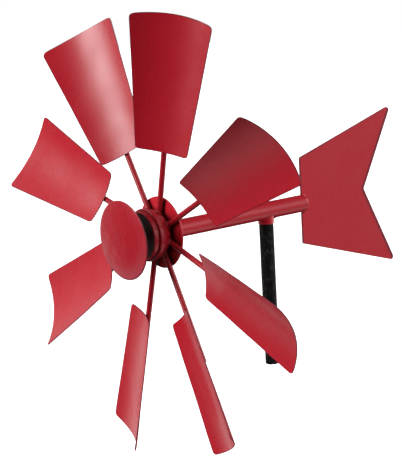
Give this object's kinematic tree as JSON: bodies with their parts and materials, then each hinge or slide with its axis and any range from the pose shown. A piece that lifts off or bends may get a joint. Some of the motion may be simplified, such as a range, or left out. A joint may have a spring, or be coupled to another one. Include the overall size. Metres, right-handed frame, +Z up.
{
  "type": "garden windmill head",
  "caption": "Red steel garden windmill head: cupped-blade wind wheel on a ball-bearing hub, boom with forked weather vane, swivelling on a black stub post.",
  "frame": {"origin": "centre of the post's foot, on the post's axis, which is also the swivel axis", "axes": "+Z up along the post, -Y forward to the wind wheel, +Y back to the vane, +X to the right of a viewer who stands in front of the wheel and looks back along +Y"},
  "size_m": [0.6233, 0.5117, 0.626],
  "materials": {
    "red_sheet": "semi-gloss red enamel on rolled sheet",
    "red_paint": "semi-gloss red enamel on welded steel",
    "black_paint": "satin black paint on pipe",
    "rubber": "moulded",
    "nylon": "smooth",
    "bronze": "sintered",
    "bearing_steel": "ground",
    "plain_steel": "turned"
  },
  "bodies": {
    "post": {"post_tube": "black_paint", "pivot_spindle": "plain_steel", "thrust_washer": "nylon"},
    "head": {"front_bearing_inner_race": "bearing_steel", "rear_bearing_inner_race": "bearing_steel", "bearing_spacer": "plain_steel", "axle_washer": "plain_steel", "axle_nut": "plain_steel", "axle_shaft": "plain_steel", "nose_nut": "red_paint", "nose_disc": "red_paint", "boom_plug": "plain_steel", "boom_tube": "red_paint", "boom_end_weld": "red_paint", "tail_vane": "red_sheet", "pivot_collar": "red_paint", "collar_weld": "red_paint", "pivot_bush": "bronze", "retaining_screw": "plain_steel"},
    "wheel": {"blade_1": "red_sheet", "blade_2": "red_sheet", "blade_3": "red_sheet", "blade_4": "red_sheet", "blade_5": "red_sheet", "blade_6": "red_sheet", "blade_7": "red_sheet", "blade_8": "red_sheet", "spoke_1": "red_paint", "spoke_2": "red_paint", "spoke_3": "red_paint", "spoke_4": "red_paint", "spoke_5": "red_paint", "spoke_6": "red_paint", "spoke_7": "red_paint", "spoke_8": "red_paint", "hub_barrel": "red_paint", "hub_mouth_ring": "red_paint", "hub_back_plate": "red_paint", "dust_seal": "rubber", "front_bearing_outer_race": "bearing_steel", "front_bearing_balls": "bearing_steel", "front_bearing_cage": "bronze", "front_bearing_shields": "rubber", "rear_bearing_outer_race": "bearing_steel", "rear_bearing_balls": "bearing_steel", "rear_bearing_cage": "bronze", "rear_bearing_shields": "rubber"}
  },
  "joints": [
    {"name": "head_yaw", "type": "hinge", "parent": "post", "child": "head", "pos_m": [0, 0, 0.22], "axis": [0, 0, 1], "continuous": true},
    {"name": "wheel_spin", "type": "hinge", "parent": "head", "child": "wheel", "pos_m": [0, -0.1964, 0.23], "axis": [0, -1, 0], "continuous": true}
  ]
}
